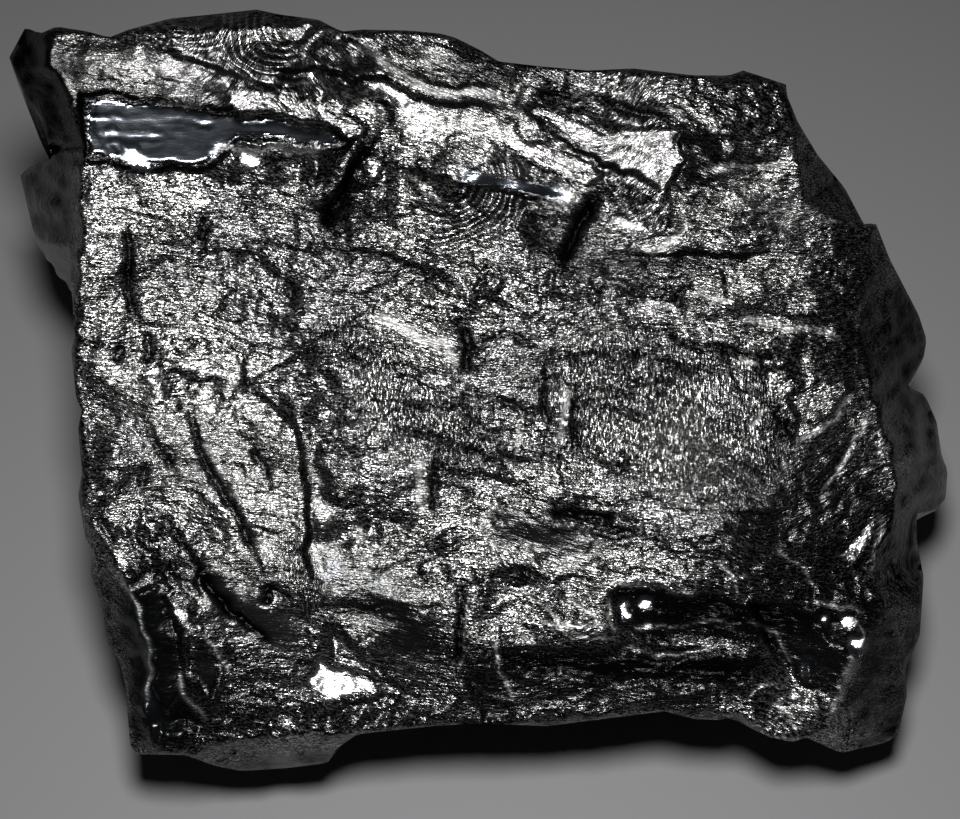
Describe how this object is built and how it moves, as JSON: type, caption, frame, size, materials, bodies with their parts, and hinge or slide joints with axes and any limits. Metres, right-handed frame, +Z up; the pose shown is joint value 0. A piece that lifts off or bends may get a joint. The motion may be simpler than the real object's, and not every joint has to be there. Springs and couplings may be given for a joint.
{
  "type": "anthracite lump",
  "caption": "Broken lump of hard coal: a broad uneven fracture face with ledges, cracks and hollows, steep broken flanks and a flat underside to rest on.",
  "frame": {"origin": "middle of the lump's box on the ground plane", "axes": "+Z up; +X along the longest way across; the broad broken face slopes down towards -Y"},
  "size_m": [0.0976, 0.0696, 0.0498],
  "materials": {
    "anthracite": "black, submetallic to glassy broken surface with silver-grey glints"
  },
  "bodies": {
    "root": {"anthracite_lump": "anthracite"}
  },
  "joints": []
}
